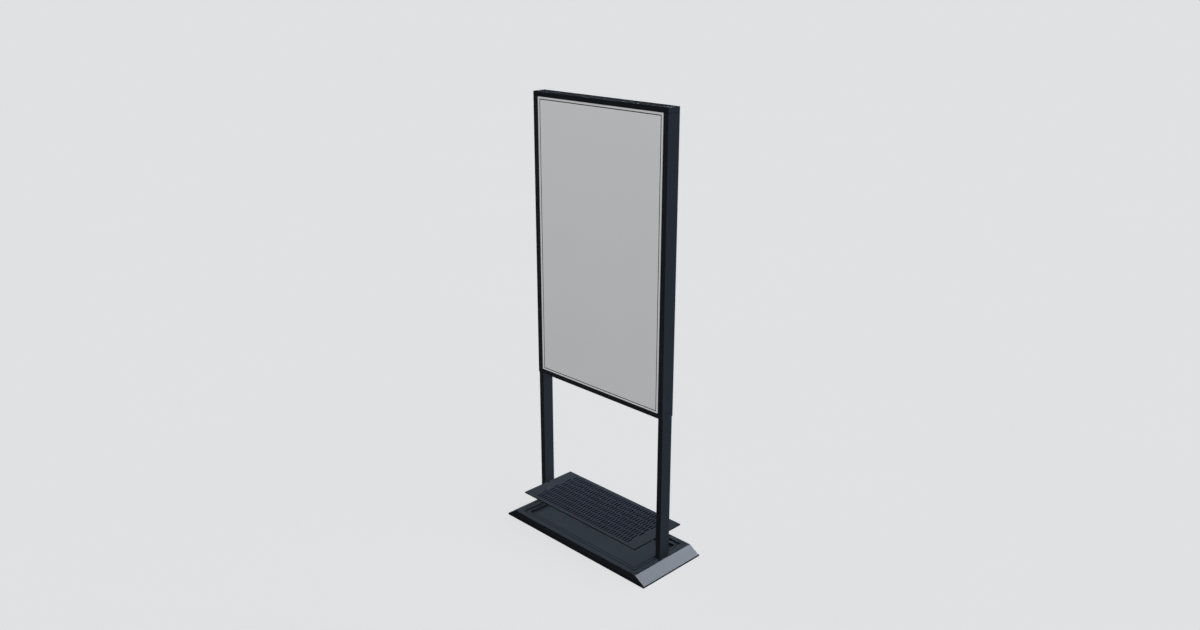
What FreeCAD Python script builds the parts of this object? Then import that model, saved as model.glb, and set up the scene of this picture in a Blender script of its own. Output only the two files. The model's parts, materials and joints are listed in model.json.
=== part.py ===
import FreeCAD, Part
import os
import math
from FreeCAD import Vector as V

# ---------------------------------------------------------------------------
# Free-standing portrait display stele.
# Millimetres.  +Z up, X across the width, the screen faces -Y.
# Origin: middle of the footprint, on the surface the stele stands on.
# ---------------------------------------------------------------------------

os.makedirs("parts", exist_ok=True)

# ---- overall -----------------------------------------------------------------
TOTAL_H = 1972.5          # floor to top of the display frame

# ---- base ----------------------------------------------------------------------
MAT_T = 2.0               # anti-slip mat under the base plate
MAT_IN = 0.8              # the mat's edge stands back this far from the plate's
BASE_L = 876.0            # base plate length (X)
BASE_D = 362.0            # base plate depth (Y)
PLATE_T = 5.0             # base plate thickness
RAMP_X = 436.0            # lower edge of a ramp (X)
RIM_L = 771.0             # flat top of the base between the ramps (X)
RIM_D = 355.0             # depth of the shell (Y)
BASE_H = 38.5             # floor to the top of the rim
SHELL_T = 5.0             # shell wall
SEAT_L = 708.0            # opening in the rim that takes the cover (X)
SEAT_D = 296.0            # opening in the rim that takes the cover (Y)
PAN_L = 671.0             # tray cavity (X)
PAN_D = 255.0             # tray cavity (Y)
PAN_FLOOR_Z = 25.0        # upper face of the tray floor
PAN_T = 2.0               # tray sheet
TRIM_W, TRIM_H = 3.2, 2.0 # edge strip let into the opening in the rim
PAN_TRIM_W, PAN_TRIM_H = 2.7, 1.2     # edge strip let into the tray's inner edge
BALLAST_L, BALLAST_D, BALLAST_T = 320.0, 236.0, 13.0

# ---- cover plate ---------------------------------------------------------------
COVER_L = 706.0
COVER_D = 294.0
COVER_T = 5.0
COVER_TOP_Z = 138.5       # raised position, upper face
SLOT_W = 7.6              # slots run along Y
SLOT_L = 33.4
SLOT_PITCH_X = 15.9
SLOT_PITCH_Y = 37.7
SLOTS_PER_ROW = 37
SLOT_ROWS = 7
SLOT_SHIFT = SLOT_PITCH_X / 4.0     # neighbouring rows are half a pitch apart
SHEET_T = 3.0             # cover sheet over the pocket that holds the liner
POCKET_HX, POCKET_HY = 306.0, 137.0
SCREW_SUNK = 1.2          # the cover's screws sit this far below its upper face

# ---- posts ---------------------------------------------------------------------
POST_IN = 354.0           # inner face of a post (X)
POST_OUT = 380.0          # outer face of a post (X)
POST_Y0, POST_Y1 = -16.5, 40.5
POST_WALL = 3.0
FOOT_T = 8.0
GUIDE_W = 10.0            # guide slot in the inner face of each post
GUIDE_Z0, GUIDE_Z1 = 17.0, 134.0

# ---- display frame -------------------------------------------------------------
DISP_Z0 = 701.5           # underside of the display
FR_Y0, FR_Y1 = -20.5, 44.5
RAIL_H = 20.5
FR_WALL = 2.0
EDGE_R = 0.8
SEAM = 1.2                # joint line between a rail and a stile

# ---- screen --------------------------------------------------------------------
PANEL_HX = 340.0          # half width of the panel
PANEL_Z0, PANEL_Z1 = 733.0, 1939.0
GASKET_W = 3.6
BEZEL_HX = 353.4
SCREEN_Y = -19.0          # front face of the border
REAR_Y0, REAR_Y1 = 41.0, 43.0

# ---- rear of the base ------------------------------------------------------------
INLET_X, SWITCH_X, SOCKET_Z = -280.0, -222.0, 20.0
ROCK_DEG = 9.0            # half of the rocker's swing

# ---- derived ---------------------------------------------------------------------
BP_Z1 = MAT_T + PLATE_T                   # top of the base plate
LEDGE_Z = BASE_H - SHELL_T                # upper face of the ledge
COVER_Z0 = COVER_TOP_Z - COVER_T
ST_Z0 = DISP_Z0 + RAIL_H                  # opening of the display frame
ST_Z1 = TOTAL_H - RAIL_H
POST_X = (POST_IN + POST_OUT) / 2.0
POST_Y = (POST_Y0 + POST_Y1) / 2.0


# ---- small helpers -----------------------------------------------------------------
def box(x0, x1, y0, y1, z0, z1):
    return Part.makeBox(x1 - x0, y1 - y0, z1 - z0, V(x0, y0, z0))


def cyl(x, y, z, r, h, d=(0, 0, 1)):
    return Part.makeCylinder(r, h, V(x, y, z), V(*d))


def cone(x, y, z, r0, r1, h, d=(0, 0, 1)):
    return Part.makeCone(r0, r1, h, V(x, y, z), V(*d))


def fuse(first, *rest):
    if not rest:
        return first
    return first.multiFuse(list(rest)).removeSplitter()


def cut(a, *tools):
    return a.cut(list(tools))


def mirror(s):
    return s.mirror(V(0, 0, 0), V(1, 0, 0))


def rrect(x0, x1, y0, y1, z, r):
    """Closed rounded rectangle in a plane of constant z."""
    c = math.cos(math.pi / 4.0) * r
    pts = [(x0 + r, y0), (x1 - r, y0), (x1, y0 + r), (x1, y1 - r),
           (x1 - r, y1), (x0 + r, y1), (x0, y1 - r), (x0, y0 + r)]
    mids = [(x1 - r + c, y0 + r - c), (x1 - r + c, y1 - r + c),
            (x0 + r - c, y1 - r + c), (x0 + r - c, y0 + r - c)]
    e = []
    for k in range(4):
        a, b = pts[2 * k], pts[2 * k + 1]
        n = pts[(2 * k + 2) % 8]
        m = mids[k]
        e.append(Part.LineSegment(V(a[0], a[1], z), V(b[0], b[1], z)).toShape())
        e.append(Part.Arc(V(b[0], b[1], z), V(m[0], m[1], z), V(n[0], n[1], z)).toShape())
    return Part.Wire(e)


def slot_y(cx, cy, z, w, length):
    """Closed slot with round ends, long side along Y, in a plane of constant z."""
    r = w / 2.0
    s = length / 2.0 - r
    p = [V(cx - r, cy - s, z), V(cx, cy - s - r, z), V(cx + r, cy - s, z),
         V(cx + r, cy + s, z), V(cx, cy + s + r, z), V(cx - r, cy + s, z)]
    return Part.Wire([Part.Arc(p[0], p[1], p[2]).toShape(),
                      Part.LineSegment(p[2], p[3]).toShape(),
                      Part.Arc(p[3], p[4], p[5]).toShape(),
                      Part.LineSegment(p[5], p[0]).toShape()])


def plate(outer, holes, dz):
    face = Part.makeFace([outer] + holes, "Part::FaceMakerBullseye")
    return face.extrude(V(0, 0, dz))


def poly_prism(pts, d):
    w = Part.makePolygon([V(*p) for p in pts] + [V(*pts[0])])
    return Part.Face(w).extrude(V(*d))


def round_edges(s, r, pick):
    es = [e for e in s.Edges if pick(e)]
    return s.makeFillet(r, es) if es else s


def ring(x0, x1, y0, y1, z0, z1, ix0, ix1, iz0, iz1):
    """Rectangular frame standing in the XZ plane."""
    return cut(box(x0, x1, y0, y1, z0, z1), box(ix0, ix1, y0 - 1, y1 + 1, iz0, iz1))


def along_y(s):
    """Turns something built in the XY plane about X: its z becomes -y, its y becomes z."""
    t = s.copy()
    t.rotate(V(0, 0, 0), V(1, 0, 0), 90)
    return t


def hex_prism(x, y, z, af, h, d=(0, 0, 1)):
    r = af / math.sqrt(3.0)
    p = [V(r * math.cos(math.radians(60 * k)), r * math.sin(math.radians(60 * k)), 0) for k in range(6)]
    s = Part.Face(Part.makePolygon(p + [p[0]])).extrude(V(0, 0, h))
    s.Placement = FreeCAD.Placement(V(x, y, z), FreeCAD.Rotation(V(0, 0, 1), V(*d)))
    return s


def button_screw(x, y, z, d, r, head_r, head_h, length):
    """Button-head screw; (x, y, z) is the seat of the head, d points out of the head."""
    dv = V(*d)
    head = Part.makeCone(head_r, head_r * 0.62, head_h, V(x, y, z), dv)
    head = round_edges(head, head_h * 0.25, lambda e: abs(e.Length - 2 * math.pi * head_r * 0.62) < 1e-3)
    sock = hex_prism(x + dv.x * head_h * 0.45, y + dv.y * head_h * 0.45, z + dv.z * head_h * 0.45,
                     head_r * 0.72, head_h, d)
    shank = Part.makeCylinder(r, length, V(x, y, z), V(-dv.x, -dv.y, -dv.z))
    return cut(fuse(head, shank), sock)


def csk_screw(x, y, z, d, r, head_r, length, hexaf):
    """Countersunk screw; (x, y, z) is the flat of the head, d points out of the head."""
    dv = V(*d)
    back = V(-dv.x, -dv.y, -dv.z)
    h = head_r - r
    s = fuse(Part.makeCone(head_r, r, h, V(x, y, z), back),
             Part.makeCylinder(r, length, V(x, y, z), back))
    depth = h * 0.8
    sock = hex_prism(x - dv.x * depth, y - dv.y * depth, z - dv.z * depth, hexaf, depth + 1.0, d)
    return cut(s, sock)


def csk_hole(x, y, z, d, r, head_r, length):
    dv = V(*d)
    back = V(-dv.x, -dv.y, -dv.z)
    out = V(x + dv.x * 0.5, y + dv.y * 0.5, z + dv.z * 0.5)
    return fuse(Part.makeCone(head_r + 0.5, r, head_r + 0.5 - r, out, back),
                Part.makeCylinder(r, length + 0.5, out, back))


def save(name, *shapes):
    solids = []
    for s in shapes:
        solids.extend(s.Solids)
    for s in solids:
        if not s.isValid():
            print("INVALID", name)
    out = solids[0] if len(solids) == 1 else Part.makeCompound(solids)
    out.exportStep("parts/%s.step" % name)
    print("%-20s solids %3d  volume %10.1f cm3" % (name, len(solids), sum(s.Volume for s in solids) / 1000.0))


SIDES = (-1, 1)

# =============================================================================
# Base
# =============================================================================
mat = plate(rrect(-BASE_L / 2 + MAT_IN, BASE_L / 2 - MAT_IN, -BASE_D / 2 + MAT_IN, BASE_D / 2 - MAT_IN, 0, 2.0), [], MAT_T)
save("base_mat", mat)

BASE_SCREW_XY = [(sx * x, sy * 166.0) for x in (330.0, 110.0) for sx in SIDES for sy in SIDES]
BALLAST_SCREW_XY = [(sx * x, sy * 80.0) for x in (60.0, 268.0) for sx in SIDES for sy in SIDES]
FOOT_BOLT_XY = [(sx * x, y) for x in (348.5, 392.0) for sx in SIDES for y in (POST_Y - 57, POST_Y + 57)]

bp = plate(rrect(-BASE_L / 2, BASE_L / 2, -BASE_D / 2, BASE_D / 2, MAT_T, 2.0), [], PLATE_T)
bp = round_edges(bp, 0.8, lambda e: abs(e.CenterOfMass.z - BP_Z1) < 1e-6)
bp_holes = [csk_hole(x, y, MAT_T, (0, 0, -1), 3.2, 6.0, PLATE_T + 1) for x, y in BASE_SCREW_XY + BALLAST_SCREW_XY]
bp_holes += [cyl(x, y, MAT_T - 1, 4.1, PLATE_T + 2) for x, y in FOOT_BOLT_XY]
save("base_plate", cut(bp, *bp_holes))

save("base_screws", *[csk_screw(x, y, MAT_T + 0.1, (0, 0, -1), 3.0, 5.8, 18.0, 4.0) for x, y in BASE_SCREW_XY])

# shell: trapezoid along X with ramped ends, hollow from below, open in the rim
HB, HT = RAMP_X, RIM_L / 2
run, rise = HB - HT, BASE_H - BP_Z1
wall_run = SHELL_T * math.hypot(run, rise) / rise
YS = RIM_D / 2
outer = poly_prism([(-HB, -YS, BP_Z1), (HB, -YS, BP_Z1), (HT, -YS, BASE_H), (-HT, -YS, BASE_H)], (0, RIM_D, 0))
outer = round_edges(outer, 1.2, lambda e: e.CenterOfMass.z > BP_Z1 + 1)
zi = LEDGE_Z
xi0 = HB - wall_run
xi1 = HT + SHELL_T * run / rise - wall_run
yi = YS - SHELL_T
inner = poly_prism([(-xi0 - 0.5 * run / rise, -yi, BP_Z1 - 0.5), (xi0 + 0.5 * run / rise, -yi, BP_Z1 - 0.5),
                    (xi1, -yi, zi), (-xi1, -yi, zi)], (0, 2 * yi, 0))
shell = cut(outer, inner)
opening = plate(rrect(-SEAT_L / 2, SEAT_L / 2, -SEAT_D / 2, SEAT_D / 2, zi - 1, 2.0), [], SHELL_T + 2)
notches = [box(SEAT_L / 2 - 1, POST_OUT + 0.2, POST_Y0 - 0.2, POST_Y1 + 0.2, zi - 1, BASE_H + 1)]
notches.append(mirror(notches[0]))
rim_rebate = plate(rrect(-SEAT_L / 2 - TRIM_W, SEAT_L / 2 + TRIM_W, -SEAT_D / 2 - TRIM_W, SEAT_D / 2 + TRIM_W,
                         BASE_H - TRIM_H, 5.2), [], TRIM_H + 1)
shell = cut(shell, opening, rim_rebate, *notches)
bosses = [cyl(x, y, BP_Z1, 6.0, zi - BP_Z1 + 0.5) for x, y in BASE_SCREW_XY]
shell = fuse(shell, *bosses)
TRAY_SCREW_XY = [(sx * x, sy * 153.0) for x in (310.0, 105.0) for sx in SIDES for sy in SIDES]
tools = [cyl(x, y, BP_Z1 - 1, 3.1, 16.0) for x, y in BASE_SCREW_XY]
tools += [cyl(x, y, zi - 1, 2.1, 3.9) for x, y in TRAY_SCREW_XY]
tools.append(box(INLET_X - 14.0, INLET_X + 14.0, yi - 1, YS + 1, SOCKET_Z - 10.3, SOCKET_Z + 10.3))
tools += [cyl(INLET_X + dx, YS + 1, SOCKET_Z, 1.6, SHELL_T + 2, (0, -1, 0)) for dx in (-20, 20)]
tools.append(box(SWITCH_X - 9.6, SWITCH_X + 9.6, yi - 1, YS + 1, SOCKET_Z - 6.6, SOCKET_Z + 6.6))
shell = cut(shell, *tools)
save("base_shell", shell)

# tray: pan with a flange; the flange is the ledge that the cover sits on
FL_X, FL_Y = 366.0, 158.0
fz0 = LEDGE_Z - PAN_T
pan_wall = plate(rrect(-PAN_L / 2 - PAN_T, PAN_L / 2 + PAN_T, -PAN_D / 2 - PAN_T, PAN_D / 2 + PAN_T,
                       PAN_FLOOR_Z - PAN_T, 5.0), [], LEDGE_Z - PAN_FLOOR_Z + PAN_T)
flange = plate(rrect(-FL_X, FL_X, -FL_Y, FL_Y, fz0, 3.0), [], PAN_T)
pan_cut = plate(rrect(-PAN_L / 2, PAN_L / 2, -PAN_D / 2, PAN_D / 2, PAN_FLOOR_Z, 3.0), [], 20)
tray = cut(fuse(pan_wall, flange), pan_cut)
tools = []
for s in SIDES:
    a = box(POST_IN - 0.3, FL_X + 1, POST_Y0 - 0.5, POST_Y1 + 0.5, fz0 - 1, LEDGE_Z + 1)
    b = box(PAN_L / 2 + PAN_T + 0.8, POST_IN, -12.5, 12.5, fz0 - 1, LEDGE_Z + 1)
    tools += [a, b] if s > 0 else [mirror(a), mirror(b)]
tools += [cyl(x, y, fz0 - 1, 2.1, 5.0) for x, y in TRAY_SCREW_XY]
pan_rebate = plate(rrect(-PAN_L / 2 - PAN_TRIM_W, PAN_L / 2 + PAN_TRIM_W, -PAN_D / 2 - PAN_TRIM_W, PAN_D / 2 + PAN_TRIM_W,
                         LEDGE_Z - PAN_TRIM_H, 5.7), [], PAN_TRIM_H + 1)
tray = cut(tray, pan_rebate)
save("tray", cut(tray, *tools))

# edge strips: one round the opening in the rim, broken by the posts, and one round the tray's inner edge
g = 0.05
rim_strip = plate(rrect(-SEAT_L / 2 - TRIM_W + g, SEAT_L / 2 + TRIM_W - g, -SEAT_D / 2 - TRIM_W + g, SEAT_D / 2 + TRIM_W - g,
                        BASE_H - TRIM_H + g, 5.2 - g),
                  [rrect(-SEAT_L / 2, SEAT_L / 2, -SEAT_D / 2, SEAT_D / 2, BASE_H - TRIM_H + g, 2.0)], TRIM_H - g)
rim_strip = cut(rim_strip, *[box(min(s * (SEAT_L / 2 - 1), s * POST_OUT), max(s * (SEAT_L / 2 - 1), s * POST_OUT),
                                 POST_Y0 - 0.3, POST_Y1 + 0.3, zi, BASE_H + 1) for s in SIDES])
pan_strip = plate(rrect(-PAN_L / 2 - PAN_TRIM_W + g, PAN_L / 2 + PAN_TRIM_W - g, -PAN_D / 2 - PAN_TRIM_W + g,
                        PAN_D / 2 + PAN_TRIM_W - g, LEDGE_Z - PAN_TRIM_H + g, 5.7 - g),
                  [rrect(-PAN_L / 2, PAN_L / 2, -PAN_D / 2, PAN_D / 2, LEDGE_Z - PAN_TRIM_H + g, 3.0)], PAN_TRIM_H - g)
save("edge_strips", rim_strip, pan_strip)
save("tray_screws", *[button_screw(x, y, fz0, (0, 0, -1), 2.0, 3.6, 2.2, 4.6) for x, y in TRAY_SCREW_XY])

# ballast plates under the tray floor
for name, s in (("ballast_left", -1), ("ballast_right", 1)):
    x0 = 4.0
    b = plate(rrect(x0, x0 + BALLAST_L, -BALLAST_D / 2, BALLAST_D / 2, BP_Z1, 3.0), [], BALLAST_T)
    if s < 0:
        b = mirror(b)
    b = cut(b, *[cyl(x, y, BP_Z1 - 1, 3.1, 11.0) for x, y in BALLAST_SCREW_XY if x * s > 0])
    save(name, b)
save("ballast_screws", *[csk_screw(x, y, MAT_T + 0.1, (0, 0, -1), 3.0, 5.8, 13.0, 4.0) for x, y in BALLAST_SCREW_XY])

# =============================================================================
# Posts
# =============================================================================
CABLE_X, CABLE_Y, CABLE_Z, CABLE_R = -POST_X, 20.0, 22.0, 3.0
STILE_EXIT_Z = 890.0
SPIGOT_Z0, SPIGOT_Z1 = 562.0, 842.0
SPIGOT_SCREWS = (610.0, 660.0, 760.0, 810.0)

post = box(POST_IN, POST_OUT, POST_Y0, POST_Y1, BP_Z1 + FOOT_T, DISP_Z0)
post = round_edges(post, 1.2, lambda e: abs(e.Vertexes[0].Z - e.Vertexes[-1].Z) > 100)
w = POST_WALL
post = cut(post, box(POST_IN + w, POST_OUT - w, POST_Y0 + w, POST_Y1 - w, 0, DISP_Z0 + 1),
           box(POST_IN - 1, POST_IN + w + 1, -GUIDE_W / 2, GUIDE_W / 2, GUIDE_Z0, GUIDE_Z1),
           *[cyl(POST_X, POST_Y1 + 1, z, 3.1, w + 2, (0, -1, 0)) for z in SPIGOT_SCREWS[:2]])
save("post_right", post)
cable_hole = cyl(CABLE_X, POST_Y1 + 1, CABLE_Z + 1.2, 6.1, w + 2, (0, -1, 0))
save("post_left", cut(mirror(post), cable_hole))

foot = plate(rrect(340.5, 402.0, POST_Y - 68, POST_Y + 68, BP_Z1, 3.0), [], FOOT_T)
foot = cut(foot, *[cyl(x, y, BP_Z1 - 1, 4.3, FOOT_T + 2) for x, y in FOOT_BOLT_XY if x > 0])
save("foot_right", foot)
save("foot_left", mirror(foot))
bolts = []
for x, y in FOOT_BOLT_XY:
    z = BP_Z1 + FOOT_T
    head = hex_prism(x, y, z + 1.4, 13.0, 5.2).common(
        cone(x, y, z + 1.4 - 3, 10.2, 6.0, 8.4))
    washer = cyl(x, y, z, 7.4, 1.4)
    bolts.append(fuse(head, washer, cyl(x, y, MAT_T + 0.3, 4.0, PLATE_T + FOOT_T)))
save("post_bolts", *bolts)

# joint pieces between posts and display
sw, sd = POST_OUT - POST_IN - 2 * w - 0.6, POST_Y1 - POST_Y0 - 2 * w - 0.6
spig = box(POST_X - sw / 2, POST_X + sw / 2, POST_Y - sd / 2, POST_Y + sd / 2, SPIGOT_Z0, SPIGOT_Z1)
spig = cut(spig, box(POST_X - sw / 2 + 3, POST_X + sw / 2 - 3, POST_Y - sd / 2 + 3, POST_Y + sd / 2 - 3, 0, 2000),
           *[cyl(POST_X, POST_Y + sd / 2 + 1, z, 3.1, 5, (0, -1, 0)) for z in SPIGOT_SCREWS])
save("spigot_right", spig)
save("spigot_left", mirror(spig))
ss = []
for s in SIDES:
    for z in SPIGOT_SCREWS[:2]:
        ss.append(button_screw(s * POST_X, POST_Y1, z, (0, 1, 0), 3.0, 5.25, 3.3, 6.0))
    for z in SPIGOT_SCREWS[2:]:
        ss.append(button_screw(s * POST_X, FR_Y1, z, (0, 1, 0), 3.0, 5.25, 3.3, 10.0))
save("spigot_screws", *ss)

# =============================================================================
# Cover plate, raised, on two carriers that run in the posts' guide slots
# =============================================================================
SCREW_X = COVER_L / 2 - 7.0
holes = []
for r in range(SLOT_ROWS):
    cy = (r - (SLOT_ROWS - 1) / 2.0) * SLOT_PITCH_Y
    shift = SLOT_SHIFT if r % 2 == 0 else -SLOT_SHIFT
    for k in range(SLOTS_PER_ROW):
        cx = (k - (SLOTS_PER_ROW - 1) / 2.0) * SLOT_PITCH_X + shift
        holes.append(slot_y(cx, cy, COVER_Z0, SLOT_W, SLOT_L))
cover = plate(rrect(-COVER_L / 2, COVER_L / 2, -COVER_D / 2, COVER_D / 2, COVER_Z0, 2.0), holes, COVER_T)
cover = round_edges(cover, 0.6, lambda e: (abs(e.CenterOfMass.z - COVER_TOP_Z) < 1e-6 and
                                           (abs(e.CenterOfMass.x) > COVER_L / 2 - 2 or
                                            abs(e.CenterOfMass.y) > COVER_D / 2 - 2)))
pocket = plate(rrect(-POCKET_HX, POCKET_HX, -POCKET_HY, POCKET_HY, COVER_Z0 - 1, 4.0), [], COVER_T - SHEET_T + 1)
z_head = COVER_TOP_Z - SCREW_SUNK
cover = cut(cover, pocket,
            *([cyl(s * SCREW_X, 0, z_head, 5.7, SCREW_SUNK + 1) for s in SIDES] +
              [csk_hole(s * SCREW_X, 0, z_head, (0, 0, 1), 3.2, 5.6, COVER_T + 1) for s in SIDES]))
save("cover_plate", cover)

# dark fleece bonded into the pocket, behind the slots
save("cover_liner", plate(rrect(-POCKET_HX + 0.4, POCKET_HX - 0.4, -POCKET_HY + 0.4, POCKET_HY - 0.4, COVER_Z0 + 0.15, 3.6),
                          [], COVER_T - SHEET_T - 0.2))

CB_X0, CB_X1 = PAN_L / 2 + PAN_T + 1.8, POST_IN - 1.1
CB_Z0 = COVER_Z0 - 15.0
carrier = box(CB_X0, CB_X1, -11, 11, CB_Z0, COVER_Z0)
carrier = round_edges(carrier, 1.0, lambda e: abs(e.CenterOfMass.x - CB_X1) > 0.1 and
                      abs(e.CenterOfMass.z - COVER_Z0) > 0.1)
neck = box(CB_X1 - 1, POST_IN + POST_WALL + 1.5, -GUIDE_W / 2 + 0.4, GUIDE_W / 2 - 0.4, CB_Z0, COVER_Z0)
shoe = box(POST_IN + POST_WALL + 0.35, POST_IN + POST_WALL + 4.5, -9, 9, CB_Z0, COVER_Z0)
carrier = fuse(carrier, neck, shoe)
carrier = cut(carrier, cyl(SCREW_X, 0, COVER_Z0 - 11, 3.1, 12))
save("carrier_right", carrier)
save("carrier_left", mirror(carrier))
save("carrier_screws", *[csk_screw(s * SCREW_X, 0, z_head - 0.2, (0, 0, 1), 3.0, 5.3, 13.0, 4.0) for s in SIDES])
pads = []
for s in SIDES:
    for y in (-7.9, 7.9):
        pads.append(cyl(s * CB_X1, y, CB_Z0 + 7.5, 2.6, 0.75, (s, 0, 0)))
save("friction_pads", *pads)

# =============================================================================
# Display frame
# =============================================================================
def rail(z0, z1, seam_z):
    b = box(-POST_OUT, POST_OUT, FR_Y0, FR_Y1, z0, z1)
    b = b.makeFillet(EDGE_R, [e for e in b.Edges if abs(e.CenterOfMass.z - seam_z) > 0.1])
    t = FR_WALL
    return cut(b, box(-POST_OUT + t, POST_OUT - t, FR_Y0 + t, FR_Y1 - t, z0 + t, z1 - t))


BR_Y = 20.0
BR_SCREW_Z = [ST_Z0 + 20, ST_Z0 + 46, ST_Z1 - 46, ST_Z1 - 20]
BR_SCREW_X = [sx * x for x in (308.0, 334.0) for sx in SIDES]

VENT_HX, VENT_Y0, VENT_Y1 = 351.0, -14.0, 38.0
top = rail(ST_Z1, TOTAL_H, ST_Z1)
top = cut(top, plate(rrect(-VENT_HX, VENT_HX, VENT_Y0, VENT_Y1, TOTAL_H - FR_WALL - 1, 3.0), [], 6),
          box(-280, 280, VENT_Y0 + 8, VENT_Y1, ST_Z1 - 1, ST_Z1 + FR_WALL + 1),
          *[cyl(x, BR_Y, ST_Z1 - 1, 2.6, FR_WALL + 2) for x in BR_SCREW_X])
save("top_rail", top)
gz = TOTAL_H - FR_WALL - 1.5
gslots = [slot_y(-VENT_HX + 12 + 6.0 * k, (VENT_Y0 + VENT_Y1) / 2, gz, 3.0, VENT_Y1 - VENT_Y0 - 10.0)
          for k in range(int((2 * VENT_HX - 24) / 6.0) + 1)]
grille = plate(rrect(-VENT_HX - 6, VENT_HX + 6, VENT_Y0 - 4, VENT_Y1 + 4, gz, 2.0), gslots, 1.5)
save("vent_grille", grille)

bot = rail(DISP_Z0, ST_Z0, ST_Z0)
tools = []
for s in SIDES:
    tools.append(box(s * POST_X - sw / 2 - 0.3, s * POST_X + sw / 2 + 0.3, POST_Y - sd / 2 - 0.3, POST_Y + sd / 2 + 0.3,
                     DISP_Z0 - 1, ST_Z0 + 1))
tools += [cyl(x, BR_Y, ST_Z0 + 1, 2.6, FR_WALL + 2, (0, 0, -1)) for x in BR_SCREW_X]
save("bottom_rail", cut(bot, *tools))

BAR_Z = (1000.0, 1672.0)
stile = box(POST_IN, POST_OUT, FR_Y0, FR_Y1, ST_Z0 + SEAM, ST_Z1 - SEAM)
stile = round_edges(stile, EDGE_R, lambda e: abs(e.Vertexes[0].Z - e.Vertexes[-1].Z) > 100)
t = FR_WALL
stile = cut(stile, box(POST_IN + t, POST_OUT - t, FR_Y0 + t, FR_Y1 - t, 0, 2500),
            *([cyl(POST_IN - 1, BR_Y, z, 2.6, t + 2, (1, 0, 0)) for z in BR_SCREW_Z] +
              [cyl(POST_IN - 1, BR_Y, z + dz, 2.6, t + 2, (1, 0, 0)) for z in BAR_Z for dz in (-11, 11)] +
              [cyl(POST_X, FR_Y1 + 1, z, 3.1, t + 2, (0, -1, 0)) for z in SPIGOT_SCREWS[2:]]))
save("stile_right", stile)
stile_l = cut(mirror(stile), cyl(-POST_IN + 1, CABLE_Y, STILE_EXIT_Z, 6.1, t + 2, (-1, 0, 0)))
save("stile_left", stile_l)

# corner brackets
brs, bscrews = [], []
for s in SIDES:
    for z, up in ((ST_Z0 + 0.2, 1), (ST_Z1 - 0.2, -1)):
        a = box(POST_IN - 3.2, POST_IN - 0.2, BR_Y - 6, BR_Y + 6, min(z, z + up * 60), max(z, z + up * 60))
        b = box(POST_IN - 61, POST_IN - 0.2, BR_Y - 6, BR_Y + 6, min(z, z + up * 3), max(z, z + up * 3))
        br = fuse(a, b)
        br = cut(br, *([cyl(POST_IN - 5, BR_Y, zz, 2.7, 6, (1, 0, 0)) for zz in BR_SCREW_Z] +
                       [cyl(xx, BR_Y, z - 4, 2.7, 8) for xx in BR_SCREW_X if xx > 0]))
        brs.append(br if s > 0 else mirror(br))
    for zz in BR_SCREW_Z:
        bscrews.append(button_screw(s * (POST_IN - 3.2), BR_Y, zz, (-s, 0, 0), 2.5, 4.6, 2.6, 5.9))
for xx in BR_SCREW_X:
    bscrews.append(button_screw(xx, BR_Y, ST_Z0 + 3.2, (0, 0, 1), 2.5, 4.6, 2.6, 7.0))
    bscrews.append(button_screw(xx, BR_Y, ST_Z1 - 3.2, (0, 0, -1), 2.5, 4.6, 2.6, 7.0))
save("corner_brackets", *brs)
save("bracket_screws", *bscrews)

# foam strips in the joints between rails and stiles, set back from the outside
strips = []
for s in SIDES:
    for z in (ST_Z0 + 0.05, ST_Z1 - SEAM + 0.05):
        g = cut(box(POST_IN + 1.0, POST_OUT - 1.0, FR_Y0 + 1.0, FR_Y1 - 1.0, z, z + SEAM - 0.1),
                box(POST_IN + 1.9, POST_OUT - 1.9, FR_Y0 + 1.9, FR_Y1 - 1.9, z - 1, z + SEAM + 1))
        strips.append(g if s > 0 else mirror(g))
save("joint_gaskets", *strips)

# =============================================================================
# Screen
# =============================================================================
gx, gz0, gz1 = PANEL_HX + GASKET_W, PANEL_Z0 - GASKET_W, PANEL_Z1 + GASKET_W
bez = ring(-BEZEL_HX, BEZEL_HX, SCREEN_Y, SCREEN_Y + 3.3, ST_Z0 + 0.6, ST_Z1 - 0.6, -gx, gx, gz0, gz1)
bez = round_edges(bez, 0.6, lambda e: abs(e.CenterOfMass.y - SCREEN_Y) < 1e-6)
skirt = ring(-BEZEL_HX, BEZEL_HX, SCREEN_Y + 2.3, 0.0, ST_Z0 + 0.6, ST_Z1 - 0.6,
             -BEZEL_HX + 2.6, BEZEL_HX - 2.6, ST_Z0 + 2.6, ST_Z1 - 2.6)
save("screen_bezel", fuse(bez, skirt))
save("panel_gasket", ring(-gx + 0.05, gx - 0.05, SCREEN_Y + 0.5, SCREEN_Y + 3.3, gz0 + 0.05, gz1 - 0.05,
                          -PANEL_HX - 0.05, PANEL_HX + 0.05, PANEL_Z0 - 0.05, PANEL_Z1 + 0.05))
pan = box(-PANEL_HX, PANEL_HX, SCREEN_Y + 0.3, SCREEN_Y + 3.3, PANEL_Z0, PANEL_Z1)
pan = round_edges(pan, 0.4, lambda e: abs(e.CenterOfMass.y - SCREEN_Y - 0.3) < 1e-6)
save("screen_panel", pan)

CH_Y0, CH_Y1 = SCREEN_Y + 3.5, 12.0
ch = box(-350.4, 350.4, CH_Y0, CH_Y1, ST_Z0 + 3.0, ST_Z1 - 3.0)
ch = cut(ch, box(-349.2, 349.2, CH_Y0 + 1.2, CH_Y1 - 1.2, ST_Z0 + 4.2, ST_Z1 - 4.2),
         *[cyl(sx * 200, CH_Y1 + 1, z, 3.1, 4, (0, -1, 0)) for sx in SIDES for z in BAR_Z])
save("lcd_chassis", ch)

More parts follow.
